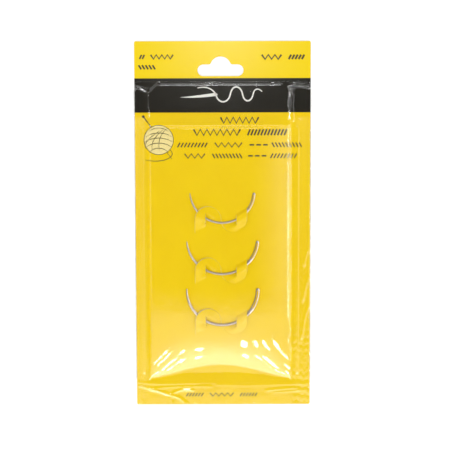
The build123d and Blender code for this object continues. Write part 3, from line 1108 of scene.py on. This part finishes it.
def lamp(name, spot, size, brightness, kind="ELLIPSE", shine_only=True, toward=Vector((0, 0, 0))):
    """An area lamp turned to a place on the pack; brightness 1 is white paper in full light."""
    spot = Vector(spot)
    data = bpy.data.lights.new(name, "AREA")
    data.shape = kind
    data.size, data.size_y = size[0] * MM, size[1] * MM
    area = data.size * data.size_y * (math.pi / 4 if kind == "ELLIPSE" else 1)
    data.energy = 4 * area * brightness
    made = bpy.data.objects.new(name, data)
    made.location = spot * MM
    facing = (spot - toward).normalized()
    across = (Vector((1, 0, 0)) - facing * facing.x).normalized()
    made.rotation_euler = Matrix((across, facing.cross(across), facing)).transposed().to_euler()
    made.visible_diffuse = not shine_only
    bpy.context.scene.collection.objects.link(made)
    return made


def glints(row, places):
    """A row of small lamps, each where the film mirrors it to its pixel of the photograph."""
    distance, width, brightness, middle, near, far = 800, 24, 14, 222, 30, 48
    near_grow, far_grow, right_tall = 1.6, 0.8, 2.4
    for k, (px, py) in enumerate(places):
        spot, normal = film_at_pixel(px, py)
        ray = pixel_ray(px, py)
        back = ray - 2 * ray.dot(normal) * normal
        aside = abs(px - middle)
        grow = near_grow if aside < near else far_grow if aside > far else 1
        tall = width * min(grow, 1) * (right_tall if px > middle and row == 0 else 1)
        lamp(f"glint_{row}_{k}", spot + back * distance, (width * grow, tall), brightness, toward=spot)


def lamps():
    """Two rows of glints, a strip, a patch and two corners for the film's shine, and one soft key."""
    glints(0, GLINTS_HEAD)
    glints(1, GLINTS_FOOT)
    lamp("strip_right", (900, 0, 480), (150, 900), 22, "RECTANGLE")
    lamp("lamp_head", (0, 140, 1150), (80, 125), 13, "RECTANGLE")
    lamp("corner_left", (-640, -640, 480), (380, 380), 11)
    lamp("corner_right", (640, -640, 480), (380, 380), 11)
    key = lamp("key_soft", (60, -250, 1030), (700, 700), 2.5, "RECTANGLE", shine_only=False)
    key.visible_glossy = False


def shine_card(name, corners, material):
    """A card that only reflections see, like a dark or a bright part of the room."""
    card = mesh_object(name, corners, [(0, 1, 2, 3)], material)
    card.visible_camera = card.visible_diffuse = card.visible_shadow = False
    card.visible_transmission = card.visible_volume_scatter = False


def faded_card(name, height, x_edges, y_edges, least=0, extra=0):
    """A level shine card; an edge is where it starts and where it is solid, one place for a hard edge."""
    bright_from, bright_half = 520, 160
    graph = Graph(name)
    x, y = graph.axes(graph.place())
    share = 1
    for value, edges in ((x, x_edges), (y, y_edges)):
        for start, solid in edges:
            if start != solid:
                share = graph.times(share, graph.ramp(value, start, solid))
    middle = graph.ramp(graph.math("ABSOLUTE", x), bright_from, bright_half)
    glow = graph.glow(WHITE, graph.plus(graph.times(middle, extra), least))
    clear = graph.first("ShaderNodeBsdfTransparent", {"Color": WHITE})
    (left, _), (right, _) = x_edges
    (near, _), (far, _) = y_edges
    shine_card(name, [(left, near, height), (right, near, height), (right, far, height), (left, far, height)],
               graph.finish(graph.blend(share, clear, glow)))


def shine_cards():
    """A dark ceiling, a pale panel beyond the pack's foot, and upright dark cards to its left and foot."""
    faded_card("ceiling_dark", 2000, ((-2600, -1900), (1700, 600)), ((-550, -390), (600, 600)))
    faded_card("panel_pale", 800, ((-850, -595), (850, 595)),
               ((-1150, -1000), (-245, -600)), least=2.6, extra=2)
    plain = Graph("card_dark")
    dark = plain.finish(plain.glow((0.02, 0.02, 0.02, 1), 1))
    low = 20
    for name, start, stop, top in (("left_dark", (-2600, -900), (-2600, 900), 2300),
                                   ("foot_dark", (-900, -1700), (900, -1700), 900)):
        shine_card(name, [(*start, low), (*stop, low), (*stop, top), (*start, top)], dark)


def seen_share(graph):
    """1 for rays from the camera, in reflections and through clear things, and 0 for light."""
    path = graph.node("ShaderNodeLightPath")
    share = graph.math("MAXIMUM", path.outputs["Is Camera Ray"], path.outputs["Is Glossy Ray"])
    return graph.math("MAXIMUM", share, path.outputs["Is Transmission Ray"])


def floor():
    """A pale floor that looks white and keeps the pack's shadow."""
    reach, low, seen_glow = 4000, -0.05, 0.42
    graph = Graph("floor_white")
    tint = graph.mix(graph.noise(graph.place(), 0.02), FLOOR_DARK, FLOOR_PALE)
    matte = graph.first("ShaderNodeBsdfDiffuse", {"Color": tint})
    glow = graph.glow(WHITE, graph.times(seen_share(graph), seen_glow))
    graph.finish(graph.first("ShaderNodeAddShader", {0: matte, 1: glow}))
    corners = [(-reach, -reach, low), (reach, -reach, low), (reach, reach, low), (-reach, reach, low)]
    made = mesh_object("floor", corners, [(0, 1, 2, 3)], graph.owner)


def world():
    """A white surround for everything that sees it, and a softer level as light."""
    fill_level, seen_level = 0.9, 1
    graph = Graph("studio", world=True)
    fill, seen = (graph.first("ShaderNodeBackground", {"Color": WHITE, "Strength": level})
                  for level in (fill_level, seen_level))
    bpy.context.scene.world = graph.finish(graph.blend(seen_share(graph), fill, seen))


# The edge material is the board's core tan with painted shade for the cut lines
hanging_card(printed_board(), plain_board("board_edge_and_cut_shade", CORE_TAN_AND_CUT_SHADE, 6),
             plain_board("board_back", BOARD_BACK, 2))
steel = needle_steel()
for size in SIZES:
    curved_needle(size, steel)
clear_cover(clear_film())
board_print(printing_ink("ink_brown", INK_BROWN, 0.4), printing_ink("ink_white", INK_WHITE, 0.35),
            printing_ink("ink_cream", INK_CREAM, 0.4))
floor()
world()
shine_cards()
lamps()
camera()
bpy.context.scene.view_settings.view_transform = "Standard"
